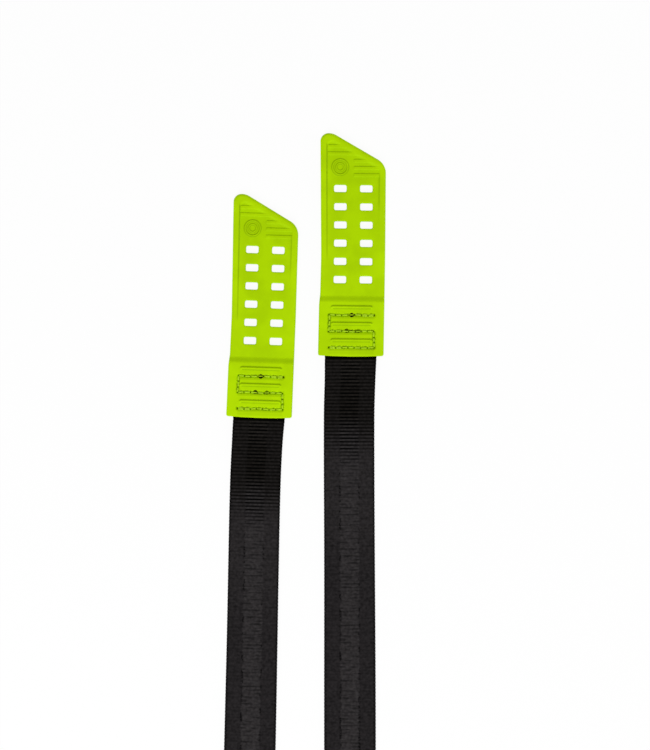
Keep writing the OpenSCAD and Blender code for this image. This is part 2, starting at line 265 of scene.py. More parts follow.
# %% [markdown]
# ## The tab's face
# Seen from the side the tab is a thick base that ramps down to a thin ladder. On its face are three round
# ribs, the stitch channel, core-pin holes that show the webbing, a panel whose floor sinks towards the tip,
# fine ridges and two plain rings. Each could be a solid of its own, cut or joined by Booleans, but all of
# them are heights over the plan, so here they simply add up.

# %% Panel heights
RIM_W, PANEL_D, PANEL_Y, PANEL_DEEP_Y, PANEL_R = 3.3, 0.6, 55.0, 88.0, 2.4
PANEL_X, SIDE_SOFT, END_SOFT, CORNER_SOFTENS = LADDER_W / 2 - RIM_W, 0.4, 1.8, 1.5
RIDGE_Y, RIDGE_PITCH, RIDGE_W, RIDGE_H, RIDGES, LONG_RIDGES = 90.05, 3.56, 1.7, 0.35, 5, 2
RIDGE_SPREAD, RIDGE_SOFT, RIDGE_START_SOFT = 0.1, 0.35, 0.6
RING_AT, RING_R, RING_HALF = np.array([-6.5, 94.0]), 3.75, 0.6
INNER_RING_R, INNER_RING_HALF, INNER_RING_SHARE = 1.9, 0.55, 0.7
SLANT_SIN, SLANT_COS = np.sin(np.arctan(SLANT)), np.cos(np.arctan(SLANT))


def slant(x):
    """Height of the slanted end at x: a straight line from the tip's corner to the shoulder's."""
    return TIP_Y - SLANT * (x + END_SHIFT + LADDER_W / 2)


def panel_sides(p):
    """Distances inside the panel's left, right and slanted sides."""
    x, y = p.T
    return x + PANEL_X, PANEL_X - x, (slant(x) - y) * SLANT_COS - RIM_W


def panel_depth(p):
    """1 in the panel, 0 outside: crisp at its sides, soft at its slanted end, the left corner rounded."""
    left, right, end = panel_sides(p)
    x = -PANEL_X + PANEL_R
    v = p - np.array([x, slant(x) - (RIM_W + PANEL_R) / SLANT_COS])
    corner = (v[:, 1] > 0) & (SLANT_SIN * v[:, 1] > SLANT_COS * v[:, 0])
    inside = np.where(corner, PANEL_R - np.hypot(*v.T), np.minimum(left, end))
    round_to_end = 1 - np.arctan2(v[:, 1], v[:, 0]) / np.pi
    turning = SIDE_SOFT + (END_SOFT - SIDE_SOFT) * smooth(CORNER_SOFTENS * round_to_end)
    soft = np.where(corner, turning, np.where(left < end, SIDE_SOFT, END_SOFT))
    return smooth(0.5 + inside / soft) * smooth(0.5 + right / SIDE_SOFT)


def from_ridge(p):
    """How far above the nearest ridge's middle a point lies, and 1 where that ridge runs."""
    number = np.clip(np.round((p[:, 1] - RIDGE_Y) / RIDGE_PITCH), 0, RIDGES - 1)
    # The upper ridges start at the left side of the panel, the others at its middle
    start = np.where(number >= RIDGES - LONG_RIDGES, -PANEL_X, 0.0)
    return p[:, 1] - RIDGE_Y - number * RIDGE_PITCH, smooth((p[:, 0] - start) / RIDGE_START_SOFT)


def panel_relief(p):
    """The wedge-shaped recess, with ridges and rings on its floor."""
    floor = -PANEL_D * np.clip((p[:, 1] - PANEL_Y) / (PANEL_DEEP_Y - PANEL_Y), 0, 1)
    above, runs = from_ridge(p)
    ridges = runs * smooth((RIDGE_W / 2 + RIDGE_SPREAD - np.abs(above)) / RIDGE_SOFT)
    out = np.hypot(*(p - RING_AT).T)
    outer = bump((out - RING_R) / RING_HALF)
    inner = INNER_RING_SHARE * bump((out - INNER_RING_R) / INNER_RING_HALF)
    return panel_depth(p) * (floor + RIDGE_H * np.maximum.reduce([ridges, outer, inner]))


print("panel relief on a ridge, mm:", panel_relief(np.array([[5.0, RIDGE_Y]])).round(2))

# %% Base heights
BASE_T, LADDER_T = 4.3, 2.8
WEB_Z, WEB_W, WEB_T = 2.1, 25.0, 1.6
RIBS, RIB_HALF, RIB_Y, RIB_PITCH, RIB_H, RIB_R, RIB_SOFT = 3, 9.4, 8.1, 8.2, 0.6, 0.8, 0.45
CHANNEL_D, CHANNEL_HALF, CHANNEL_SPREAD, CHANNEL_SOFT = 0.5, 0.85, 0.3, 0.7
PIT_D, PIT_R, PIN_R, PIN_SOFT = 0.9, 0.7, 1.1, 0.3
PIN_D = BASE_T - CHANNEL_D - WEB_Z - WEB_T / 2


def from_rib(p):
    """How far above the nearest base rib's middle line a point lies, and its distance from that line."""
    number = np.clip(np.round((p[:, 1] - RIB_Y) / RIB_PITCH), 0, RIBS - 1)
    above = p[:, 1] - RIB_Y - number * RIB_PITCH
    return above, np.hypot(np.maximum(np.abs(p[:, 0]) - RIB_HALF, 0), above)


def base_relief(p):
    """Ribs stand up from the base; the channel, the needle pits and the pin holes sink into it."""
    ribs = RIB_H * smooth((RIB_R - from_rib(p)[1]) / RIB_SOFT)
    channel = CHANNEL_D * smooth((CHANNEL_HALF + CHANNEL_SPREAD - to_path(p, SEAM_CORNERS)) / CHANNEL_SOFT)
    pits = PIT_D * bump(nearest(p, SEAM_HOLES) / PIT_R)
    pins = PIN_D * smooth((PIN_R - nearest(p, PIN_HOLES)) / PIN_SOFT)
    return ribs - channel - np.maximum(pits, pins)


def on_base(p):
    """1 on the base, 0 on the ladder, an S curve down the ramp between them."""
    return smooth((RAMP_Y + RAMP_LEN - p[:, 1]) / RAMP_LEN)


def face_height(p):
    """Height of the tab's face: base and ladder joined by the ramp, with the reliefs on top."""
    plain = LADDER_T + (BASE_T - LADDER_T) * on_base(p)
    return plain + base_relief(p) * (p[:, 1] < RAMP_Y) + panel_relief(p)


for label, spot in (("base", (-14.0, 10.0)), ("ladder", (0.0, 45.0)), ("panel", (0.0, PANEL_DEEP_Y))):
    print("face height on the", label, "mm:", face_height(np.array([spot])).round(2))

# %% [markdown]
# ## Shade in the corners
# Fine dark lines of painted shade run along the inner corners of the moulding, where little light comes in,
# along the feet of its ribs, ridges and rings, below the seam's rows and along the mouth. An Ambient
# Occlusion node could find such corners, but it costs render time. So each point gets a number that says
# how far it lies in such a line, and the finish darkens by it. A line has a shade, an offset from the edge
# that it follows and half a width.

# %% Shade lines
# Every line here is painted shade.
LINES = {"left side": (1.0, 0.3, 0.5), "right side": (0.75, 0.1, 0.45),
         "above ridge": (0.42, RIDGE_W / 2, 0.4), "below ridge": (0.2, -RIDGE_W / 2 - 0.1, 0.3),
         "ring": (1.1, 0.5, 0.35), "inner ring": (1.1, 0.45, 0.3),
         "above rib": (0.9, RIB_R - 0.1, 0.6), "below rib": (0.9, RIB_R - 0.05, 0.5),
         "seam row": (0.6, -1.5, 0.45), "mouth": (0.28, 1.9, 1.1)}
LEFT_FROM, RIGHT_FROM, SIDE_FADE = 46.0, 71.0, 7.0
LEFT_SHADE, LEFT_DEEPER, DEEPER_FROM, DEEPER_OVER = 0.8, 0.3, 58.0, 15.0
LEFT_TILT, TILT_Y = 0.012, 65.0
SIDES_END, SIDES_END_SOFT = 2.0, 1.5
FEET_SOFT, FEET_END, FEET_END_SOFT, FEET_BELOW = 0.3, 0.3, 1.0, 2.0
SEWN_MARGIN = 0.6


def line(name, away):
    """A soft line: shade * bump((away - offset) / half width), where away is the distance from its edge."""
    shade, offset, half_width = LINES[name]
    return shade * bump((away - offset) / half_width)


def panel_lines(p):
    """Lines along the panel's sides, fading in upwards; the left one starts lower and tilts a little."""
    left, right, end = panel_sides(p)
    y = p[:, 1]
    deeper = LEFT_SHADE + LEFT_DEEPER * smooth((y - DEEPER_FROM) / DEEPER_OVER)
    tilted = line("left side", left + LEFT_TILT * (y - TILT_Y))
    on_left = deeper * smooth((y - LEFT_FROM) / SIDE_FADE) * tilted
    on_right = smooth((y - RIGHT_FROM) / SIDE_FADE) * line("right side", right)
    return smooth((end - SIDES_END) / SIDES_END_SOFT) * np.maximum(on_left, on_right)


def ridge_lines(p):
    """Lines at the upper foot of each ridge and, fainter, at the lower one, inside the panel only."""
    left, right, end = panel_sides(p)
    between = smooth(left / FEET_SOFT) * smooth(right / FEET_SOFT)
    within = between * smooth((end - FEET_END) / FEET_END_SOFT)
    above, runs = from_ridge(p)
    feet = np.maximum(line("above ridge", above), line("below ridge", above))
    return (p[:, 1] > RIDGE_Y - FEET_BELOW) * runs * within * feet


def ring_lines(p):
    """Lines on either side of both rings."""
    out = np.hypot(*(p - RING_AT).T)
    return np.maximum(line("ring", np.abs(out - RING_R)), line("inner ring", np.abs(out - INNER_RING_R)))


def rib_lines(p):
    """Lines along the ribs' feet: round their upper half, and straight along the lower side."""
    over, near = from_rib(p)
    below = line("below rib", near) * (over < 0) * (np.abs(p[:, 0]) < RIB_HALF)
    return np.maximum(line("above rib", near) * (over > 0), below)


def seam_lines(p):
    """Lines just below each row of stitches, and a broad faint one along the mouth."""
    x, y = p.T
    under_rows = line("seam row", y[:, None] - SEAM_ROWS).max(1)
    return smooth(SEAM_X + SEWN_MARGIN - np.abs(x)) * np.maximum(under_rows, line("mouth", y))


def painted_shade_lines(p):
    """The darkest of all painted shade lines at each point."""
    return np.maximum.reduce([f(p) for f in (panel_lines, ridge_lines, ring_lines, rib_lines, seam_lines)])


print("shade lines:", ", ".join(LINES))

# %% [markdown]
# ## The tab as a surface
# A cube with bevels would never hold these soft moulded edges round twelve windows, so the face is a grid
# of heights. Cells that lie fully inside the material are kept, and the points on their border slide along
# the distance's slope until they sit exactly where the fillet starts. From there rings of points go over
# the round edge, down the wall and round the back edge. At the mouth the rings turn inwards first, which
# leaves the slot that the webbing goes into. The grid is fine over the base and the tip, which have the
# small shapes, and coarse along the plain ladder.

# %% Tab grid
GRID_X = np.concatenate([np.arange(-17, -15, 0.14), np.linspace(-15, 15, 106), np.arange(15.14, 17, 0.14)])
GRID_Y = np.concatenate([np.arange(-0.4, 31, 0.2), np.arange(31, 86, 0.55), np.arange(86, 115, 0.18)])
MOUTH_EDGE_R, BASE_EDGE_R, TIP_EDGE_R, WINDOW_EDGE_R, BACK_R = 0.45, 0.9, 1.5, 0.5, 0.35
MOUTH_EDGE_SPAN, EDGE_GROWS_FROM, EDGE_GROWS_OVER = 6.0, 30.0, 50.0


def edge_radius(p):
    """Radius of the outer edge at points (n, 2): it grows from the mouth to the base and on to the tip."""
    at_base = (BASE_EDGE_R - MOUTH_EDGE_R) * smooth(p[:, 1] / MOUTH_EDGE_SPAN)
    at_tip = (TIP_EDGE_R - BASE_EDGE_R) * smooth((p[:, 1] - EDGE_GROWS_FROM) / EDGE_GROWS_OVER)
    return MOUTH_EDGE_R + at_base + at_tip


def face_limit(p):
    """Signed distance to the rim of the flat face: outline and windows, each less its edge radius."""
    return np.maximum(to_outline(p, TAB_OUTLINE) + edge_radius(p), WINDOW_EDGE_R - to_window(p))


def slope_of(limit, p, step=0.01):
    """Slope of a distance at points (n, 2), from differences either way, made unit length."""
    dx, dy = np.array([step, 0]), np.array([0, step])
    g = np.stack([limit(p + dx) - limit(p - dx), limit(p + dy) - limit(p - dy)], 1)
    return g / np.maximum(np.hypot(*g.T), 1e-9)[:, None]


def kept_cells(xs, ys):
    """Points of the grid cells whose corners all lie inside the face, and those corners (m, 4)."""
    grid = np.stack(np.meshgrid(xs, ys, indexing="ij"), -1).reshape(-1, 2)
    inside = (face_limit(grid) < 0).reshape(len(xs), len(ys))
    cell = inside[:-1, :-1] & inside[1:, :-1] & inside[1:, 1:] & inside[:-1, 1:]
    index = np.arange(grid.shape[0]).reshape(len(xs), len(ys))
    corners = np.stack([index[:-1, :-1], index[1:, :-1], index[1:, 1:], index[:-1, 1:]], -1)
    used, quads = np.unique(corners[cell], return_inverse=True)
    return grid[used], quads.reshape(-1, 4)


def border_of(quads):
    """Directed sides (k, 2) of the quads that no other quad uses the other way round."""
    sides = np.stack([quads, np.roll(quads, -1, 1)], -1).reshape(-1, 2)
    size = quads.max() + 1
    return sides[~np.isin(sides @ [size, 1], sides @ [1, size])]


print("face grid:", len(GRID_X), "by", len(GRID_Y), "points")

# %% Tab walls
SLOT_HALF, SLOT_LOW, SLOT_HIGH, SLOT_DEEP, LIP_Y = 13.3, 1.2, 3.0, 6.0, 1.9
FRONT_TURN, BACK_TURN = np.radians([22.5, 45, 67.5, 90])[:, None], np.radians([0, 45, 90])[:, None]
WALL_SHARES = np.array([0.8, 0.6, 0.4, 0.2])[:, None]


def edge_rings(p, out, radius, height):
    """Rings (levels, k, 3) from the face's rim: an edge arc, the wall or slot, then the back's arc."""
    front = [radius * np.sin(FRONT_TURN), height - radius * (1 - np.cos(FRONT_TURN))]
    slot = (np.abs(p[:, 0]) < SLOT_HALF) & (p[:, 1] < LIP_Y)
    wall = WALL_SHARES * (height - radius - BACK_R) + BACK_R
    pocket = np.array([SLOT_HIGH, SLOT_HIGH, SLOT_LOW, SLOT_LOW])[:, None]
    into = np.array([0, SLOT_DEEP, SLOT_DEEP, 0])[:, None]
    middle = [np.where(slot, radius - into, radius + 0 * into), np.where(slot, pocket, wall)]
    back = [radius - BACK_R * (1 - np.cos(BACK_TURN)), 0 * radius + BACK_R * (1 - np.sin(BACK_TURN))]
    away, z = (np.concatenate(levels) for levels in zip(front, middle, back))
    plan = p + away[..., None] * out
    return np.concatenate([plan, z[..., None]], -1)


def wall_quads(sides, rim, points, rings):
    """Quads that join the face's rim, the rings below it and the back's rim, level by level."""
    place = np.zeros(points, int)
    place[rim] = np.arange(len(rim))
    a, b = place[sides].T
    print("rim points with other than two sides:", int((np.bincount(a, minlength=len(rim)) != 1).sum()))
    ring = np.arange(len(rim))
    levels = [rim] + [2 * points + i * len(rim) + ring for i in range(rings)] + [points + rim]
    pairs = zip(levels, levels[1:])
    return np.concatenate([np.stack([hi[b], hi[a], lo[a], lo[b]], 1) for hi, lo in pairs])


print("slot, mm:", 2 * SLOT_HALF, "wide and", round(SLOT_HIGH - SLOT_LOW, 2), "high")

# %% Tab marks
PIN_SHADES, PIN_SHADE_R = (1, 0.6, 0.5), 1.25
PRICK_SHADES, PRICK_R = (0.9, 0.55, 0.7), 0.85
GRIT_AT, GRIT_HEAP, GRIT_SPAN = np.array([[-1.0, SEAM_ROWS[1]]]), 0.6, 9.0
THREAD_SHADOW_SHIFT, GRIT_HALF = np.array([0, 0.1]), 1.35
RIM_SPAN, BASE_LIT, WINDOW_LIT = 9.0, 0.75, 0.5


# Painted shade in the needle pricks and on the pin holes' soft rims; inside the pin holes the dark stands
# for the black webbing.
def dark_holes(p):
    """How dark a point is, from 0 to 1: the pin holes have soft rims, and every third prick is alike."""
    pins = [shade * smooth((PIN_SHADE_R - nearest(p, hole[None])) / PIN_SOFT)
            for shade, hole in zip(PIN_SHADES, PIN_HOLES)]
    pricks = [shade * bump(nearest(p, SEAM_HOLES[i::len(PRICK_SHADES)]) / PRICK_R)
              for i, shade in enumerate(PRICK_SHADES)]
    return np.maximum.reduce(pins + pricks)


def grit_and_thread_shadow(p):
    """Grit with the thread's painted shadow: a soft band just over the seam, heaped at the middle row."""
    heaped = 1 + GRIT_HEAP * bump(nearest(p, GRIT_AT) / GRIT_SPAN)
    return heaped * bump(to_path(p - THREAD_SHADOW_SHIFT, SEAM_CORNERS) / GRIT_HALF)


def lit_rim(p):
    """1 at the outer edge, fading inwards, and no less than the base's own share on the base."""
    return np.maximum(smooth(1 + to_outline(p, TAB_OUTLINE) / RIM_SPAN), BASE_LIT * on_base(p))


print("how dark the pin holes are:", dark_holes(PIN_HOLES).round(2))

# %% Tab mesh
BACK_CHANNEL_D, BACK_CHANNEL_SPREAD, BACK_CHANNEL_SOFT = 0.78, 0.2, 0.4
RIM_SLIDES = 4


def back_height(p):
    """Height of the flat back, with the stitch channel sunk into it."""
    inside = CHANNEL_HALF + BACK_CHANNEL_SPREAD - to_path(p, SEAM_CORNERS)
    return BACK_CHANNEL_D * smooth(inside / BACK_CHANNEL_SOFT)


def tab_surface():
    """Points, quads and marks of the whole tab: face grid, back grid and the rings between them."""
    p, quads = kept_cells(GRID_X, GRID_Y)
    sides = border_of(quads)
    rim = np.unique(sides)
    for _ in range(RIM_SLIDES):
        p[rim] -= face_limit(p[rim])[:, None] * slope_of(face_limit, p[rim])
    edge = edge_radius(p[rim])
    at_window = WINDOW_EDGE_R - to_window(p[rim]) > to_outline(p[rim], TAB_OUTLINE) + edge
    height = face_height(p)
    rings = edge_rings(p[rim], slope_of(face_limit, p[rim]),
                       np.where(at_window, WINDOW_EDGE_R, edge), height[rim])
    faces = [np.column_stack([p, z]) for z in (height, back_height(p))]
    points = np.concatenate(faces + [rings.reshape(-1, 3)])
    walls = wall_quads(sides, rim, len(p), len(rings))

    unmarked = np.zeros(len(points) - len(p))
    # These marks darken the finish: painted shade in the pits, grit with the thread's painted shadow, and
    # the painted shade lines.
    marks = {key: np.concatenate([values, unmarked]) for key, values in (
        ("hole", dark_holes(p)), ("channel", grit_and_thread_shadow(p)), ("painted_shade", painted_shade_lines(p)))}
    lit_walls = np.tile(np.where(at_window, WINDOW_LIT, 1.0), len(rings))
    marks["rim"] = np.concatenate([lit_rim(p), np.ones(len(p)), lit_walls])
    return points, np.concatenate([quads, quads[:, ::-1] + len(p), walls]), marks


TAB_POINTS, TAB_QUADS, TAB_MARKS = tab_surface()
tabs = {s: make_piece(f"{s}_ladder_tab", laid(s, TAB_POINTS), TAB_QUADS, TAB_MARKS) for s in STRAPS}

# %% [markdown]
# ## Tubes and straps
# Threads and webbing are profiles carried along a path. A curve with a bevel could do that, but it has no
# point attributes and no profile that changes on its way. Rings of equal size, each joined to the next,
# make the wall here, and the two end rings are closed by quads that pair their halves, so no end needs a
# middle point.

# %% Ring helper
def ring_quads(rings, size):
    """Quads (m, 4) of a closed tube of rings, each of an even number of points."""
    index = np.arange(rings * size).reshape(rings, size)
    turned, half = np.roll(index, -1, 1), size // 2
    walls = np.stack([index[:-1], turned[:-1], turned[1:], index[1:]], -1).reshape(-1, 4)
    first, last = [np.stack([r[:half - 1], r[1:half], r[::-1][1:half], r[::-1][:half - 1]], 1)
                   for r in (index[0], index[-1])]
    return np.concatenate([walls, first[:, ::-1], last])


print("a tube of 3 rings of 8 points has", len(ring_quads(3, 8)), "quads")

# %% [markdown]
# ## The threads
# A lockstitch shows as a row of short staples: the thread comes up through one hole, lies in the channel
# and goes down the next. Each staple is a superellipse arch, a path with a flat top and steep legs. Its
# profile is round with three lobes that twist along it, like bonded three-ply thread. At both ends of the
# seam the machine sewed back over two stitches, so there a second staple lies beside the first.

# %% Thread staples
THREAD_R, PLIES, PLY_DEPTH, PLY_TWIST = 0.3, 3, 0.13, 4.0
ARCH_POWER, ARCH_POINTS, AROUND = 3, 19, 12


def staples(starts, ends, run_z, leg_z):
    """Closed tubes from starts to ends (n, 2), along arches where |u|^power + |w|^power is 1.

    Their radius is r (1 + depth cos(plies * angle - twist * travel)), so the lobes twist along them."""
    turn = np.linspace(0, np.pi, ARCH_POINTS)
    u = -np.sign(np.cos(turn)) * np.abs(np.cos(turn)) ** (2 / ARCH_POWER)
    w = np.abs(np.sin(turn)) ** (2 / ARCH_POWER)
    middle, half = (starts + ends) / 2, (ends - starts) / 2
    length = np.hypot(*half.T)
    path = np.empty((len(starts), ARCH_POINTS, 3))
    path[..., :2] = middle[:, None] + half[:, None] * u[:, None]
    path[..., 2] = leg_z + (run_z - leg_z)[:, None] * w
    ahead = np.gradient(path, axis=1)
    ahead /= np.linalg.norm(ahead, axis=-1, keepdims=True)
    side = np.column_stack([-half[:, 1], half[:, 0], 0 * length]) / length[:, None]
    rise = np.cross(ahead, side[:, None])
    angle = np.linspace(0, 2 * np.pi, AROUND, endpoint=False)
    steps = np.linalg.norm(np.diff(path, axis=1), axis=-1)
    travel = np.concatenate([np.zeros((len(starts), 1)), steps.cumsum(1)], 1)
    lobes = THREAD_R * (1 + PLY_DEPTH * np.cos(PLIES * angle - PLY_TWIST * travel[..., None]))
    ring = side[:, None, None] * np.cos(angle)[:, None] + rise[:, :, None] * np.sin(angle)[:, None]
    points = path[:, :, None] + lobes[..., None] * ring
    first = np.arange(len(starts)) * ARCH_POINTS * AROUND
    quads = ring_quads(ARCH_POINTS, AROUND) + first[:, None, None]
    along = np.repeat(travel[..., None], AROUND, -1)
    return points.reshape(-1, 3), quads.reshape(-1, 4), {"travel": along.ravel()}


print("thread, mm:", 2 * THREAD_R, "thick with", PLIES, "plies")

# %% Both threads of each seam
NEEDLE_Z, NEEDLE_LEG_Z, BOBBIN_Z, BOBBIN_LEG_Z = 4.19, 2.7, 0.39, 1.5
HOLE_GAP, TACKED, PIN_SAG, PIN_NEAR = 0.34, 2, 0.9, 0.5


def seam_thread(run_z, leg_z, sag):
    """Staples just short of their holes, doubled at the seam's ends and sagging across a pin hole."""
    reach = np.diff(SEAM_HOLES, axis=0)
    short = HOLE_GAP * reach / np.hypot(*reach.T)[:, None]
    starts, ends = SEAM_HOLES[:-1] + short, SEAM_HOLES[1:] - short
    tack = np.r_[:TACKED, len(starts) - TACKED:len(starts)]
    aside = np.array([0, THREAD_R])
    doubled = [side[tack] + aside for side in (starts, ends)]
    starts[tack] -= aside
    ends[tack] -= aside
    starts, ends = (np.concatenate(pair) for pair in zip((starts, ends), doubled))
    over_pin = nearest((starts + ends) / 2, PIN_HOLES) < PIN_NEAR
    return staples(starts, ends, run_z - sag * over_pin, leg_z)


needle_threads, bobbin_threads = {}, {}
for strap in STRAPS:
    points, quads, marks = seam_thread(NEEDLE_Z, NEEDLE_LEG_Z, PIN_SAG)
    needle_threads[strap] = make_piece(f"{strap}_seam_thread_front", laid(strap, points), quads, marks)
    points, quads, marks = seam_thread(BOBBIN_Z, BOBBIN_LEG_Z, 0.0)
    bobbin_threads[strap] = make_piece(f"{strap}_seam_thread_back", laid(strap, points),
                                       quads[:, ::-1], marks)

# %% [markdown]
# ## The webbing
# The strap is one length of woven tape: its end is sewn into the tab, it leaves the mouth, comes down to
# the table and lies flat. A cloth simulation would blur the weave, so the tape is a profile carried along
# its line. Weft ribs cross it every 1.7 mm, the middle band stands a little higher with stepped edges, and
# a fine groove sets off each selvedge. The relief is carved into the tape, so it never swells. Past the
# mouth it is pressed a little wider, and it lies in a slight bow, as a limp strap does.

# %% Webbing relief
WEFT_STEP, WEFT_D, BAND_WEFT_D = 1.72, 0.06, 0.05
BAND_HALF, BAND_STEP, BAND_SOFT, SIDE_D = 4.65, 0.3, 0.6, 0.05
GROOVE_X, GROOVE_HALF, GROOVE_D = 11.3, 0.5, 0.07


def web_relief(x, s):
    """Depth carved at x across and s along: weft ribs, the lower side bands and the selvedge grooves."""
    rib = 0.5 + 0.5 * np.cos(2 * np.pi * s / WEFT_STEP)
    stepped = BAND_HALF + BAND_STEP * np.cos(np.pi * s / WEFT_STEP)
    band = smooth((stepped - np.abs(x)) / BAND_SOFT)
    groove = bump((np.abs(x) - GROOVE_X) / GROOVE_HALF)
    return SIDE_D * (1 - band) + (WEFT_D + BAND_WEFT_D * band) * (1 - rib) + GROOVE_D * groove


print("carved between two ribs of the band, mm:", web_relief(0.0, WEFT_STEP / 2).round(2))

# %% Webbing profile
SEWN_LEN, FREE_LEN, DRAPE_LEN = 24.0, 275.0, 26.0
WEB_LEN = SEWN_LEN - FOLD_Y + FREE_LEN
ACROSS, EDGE_CROWD, EDGE_THIN, EDGE_POWER, RELIEF_POWER, SCALLOP = 37, 0.38, 0.9, 14, 8, 0.05
MOUTH_SPAN, FREE_WIDER, MOUTH_WIDER, MOUTH_REACH = 5.0, 0.13, 0.22, 8.0
FLAT_WIDER, FLAT_FROM, FLAT_OVER = 0.26, 75.0, 110.0


def past_mouth(s):
    """0 in the slot and 1 outside, rising over the last millimetres before the mouth."""
    return smooth(1 + (s - SEWN_LEN) / MOUTH_SPAN)


def tape_profile(s):
    """Across and up (stations, size) at s: half thickness t/2 sqrt(1 - thin |u|^power), less the relief."""
    t = np.linspace(-1, 1, ACROSS)
    u = (1 - EDGE_CROWD) * t + EDGE_CROWD * np.sin(np.pi * t / 2)
    half_t = WEB_T / 2 * np.sqrt(1 - EDGE_THIN * np.abs(u) ** EDGE_POWER)
    out = s - SEWN_LEN
    at_mouth = (FREE_WIDER + MOUTH_WIDER * np.exp(-(out / MOUTH_REACH) ** 2)) * past_mouth(s)
    pressed = at_mouth + FLAT_WIDER * smooth((out - FLAT_FROM) / FLAT_OVER)
    half_w = WEB_W / 2 - SCALLOP + SCALLOP * np.cos(2 * np.pi * s / WEFT_STEP) + pressed
    x = half_w[:, None] * u
    top = half_t - web_relief(x, s[:, None]) * (1 - u ** RELIEF_POWER)
    return np.concatenate([x, x[:, ::-1]], 1), np.concatenate([top, -top[:, ::-1]], 1)


print("webbing, mm:", WEB_W, "by", round(WEB_LEN, 1), "with ribs every", WEFT_STEP)

# %% Webbing line
WEB_LEAN = {"right": 0.65, "left": 0.4}
WEB_BOW = {"right": (0.28, 0.5, 0.25), "left": (0.28, 0.9, 0.08)}
STATIONS_PER_RIB, HUMP_AT, LATER_FROM, LATER_OVER = 6, 40.0, 8.0, 20.0


def webbing_tape(lean, bow):
    """Rings (stations, size, 3) along the tape, and the weave's own coordinates: across, along and side.

    Straight in the slot, then turned by lean degrees, bowed sideways and let down by an S curve."""
    s = np.arange(0, WEB_LEN, WEFT_STEP / STATIONS_PER_RIB)
    s[-1] = WEB_LEN
    x, z = tape_profile(s)
    free = np.maximum(s - SEWN_LEN + FOLD_Y, 0)
    a = np.radians(lean)
    first, hump, later = bow
    drift = (-first * past_mouth(s) - hump * free / HUMP_AT * np.exp(1 - free / HUMP_AT)
             - later * smooth((free - LATER_FROM) / LATER_OVER))
    y = np.where(free > 0, FOLD_Y - free * np.cos(a), SEWN_LEN - s)
    turned = np.where(free > 0, np.sin(a), 0.0)[:, None]
    mid = WEB_Z - (WEB_Z - WEB_T / 2) * smooth(free / DRAPE_LEN)
    points = np.stack([x * np.sqrt(1 - turned ** 2) + (free * np.sin(a) + drift)[:, None],
                       y[:, None] + x * turned, mid[:, None] + z], -1)
    weave = np.stack([x, np.broadcast_to(s[:, None], x.shape), np.sign(z)], -1)
    return points, weave


webs = {}
for strap in STRAPS:
    rings, weave = webbing_tape(WEB_LEAN[strap], WEB_BOW[strap])
    quads = ring_quads(*rings.shape[:2])
    webs[strap] = make_piece(f"{strap}_woven_strap", laid(strap, rings.reshape(-1, 3)), quads[:, ::-1],
                             {"weave": weave.reshape(-1, 3)})

# %% [markdown]
# ## Shader sums
# A material is a graph of nodes, and its maths reads better as Python. `Wire` stands for one socket: each
# operator adds the Math node that works it out, so `1 - mask` is a Subtract node. Every other node comes
# from its one method `node`, which sets a node's settings first and then its sockets.

# %% Socket class
class Wire:
    """One shader socket that takes part in sums."""

    def __init__(self, tree, socket=None):
        self.tree, self.socket = tree, socket

    def node(self, kind, settings=None, sockets=None, out=0):
        """Adds a node of that type; settings come first, then each socket gets its value or its link."""
        made = self.tree.nodes.new("ShaderNode" + kind)
        for key, value in (settings or {}).items():
            setattr(made, key, value)
        for key, value in (sockets or {}).items():
            if isinstance(value, Wire):
                self.tree.links.new(value.socket, made.inputs[key])
            else:
                made.inputs[key].default_value = value
        return Wire(self.tree, made.outputs[out] if made.outputs else None)

    def output(self, name):
        """Another output of the node that this socket belongs to."""
        return Wire(self.tree, self.socket.node.outputs[name])

    def math(self, operation, a, b=0.0):
        """A Math node of that operation on a and b."""
        return self.node("Math", {"operation": operation}, {0: a, 1: b})

    def __add__(self, other):
        return self.math("ADD", self, other)

    def __radd__(self, other):
        return self.math("ADD", other, self)

    def __sub__(self, other):
        return self.math("SUBTRACT", self, other)

    def __rsub__(self, other):
        return self.math("SUBTRACT", other, self)

    def __mul__(self, other):
        return self.math("MULTIPLY", self, other)

    def __rmul__(self, other):
        return self.math("MULTIPLY", other, self)

    def __abs__(self):
        return self.math("ABSOLUTE", self)

    def stepped(self, low, high):
        """0 below low, 1 above high, an S curve between."""
        return self.node("MapRange", {"interpolation_type": "SMOOTHSTEP"}, {0: self, 1: low, 2: high})

    def blend(self, a, b):
        """Colour a where this socket is 0, colour b where it is 1."""
        return self.node("Mix", {"data_type": "RGBA"}, {0: self, 6: a, 7: b}, out=2)

    def noise(self, scale, detail):
        """Clouds from 0 to 1 over the places that this socket gives."""
        return self.node("TexNoise", None, {"Vector": self, "Scale": scale, "Detail": detail})

    def mark(self, name, out="Fac"):
        """A point attribute of the mesh."""
        return self.node("Attribute", {"attribute_name": name}, out=out)


def emptied(block):
    """A Wire to build on, in the node tree of a material or a world, cleared of its first nodes."""
    block.use_nodes = True
    block.node_tree.nodes.clear()
    return Wire(block.node_tree)


def new_finish(name):
    """An empty material, as a Wire to build on and a function that closes it with one Principled shader."""
    material = bpy.data.materials.new(name)
    start = emptied(material)

    def close(**sockets):
        """Adds the shader with those sockets, underscores read as spaces, and gives the material."""
        named = {key.replace("_", " "): value for key, value in sockets.items()}
        start.node("OutputMaterial", None, {"Surface": start.node("BsdfPrincipled", None, named)})
        print(f"{name}: {len(start.tree.nodes)} nodes")
        return material
    return start, close
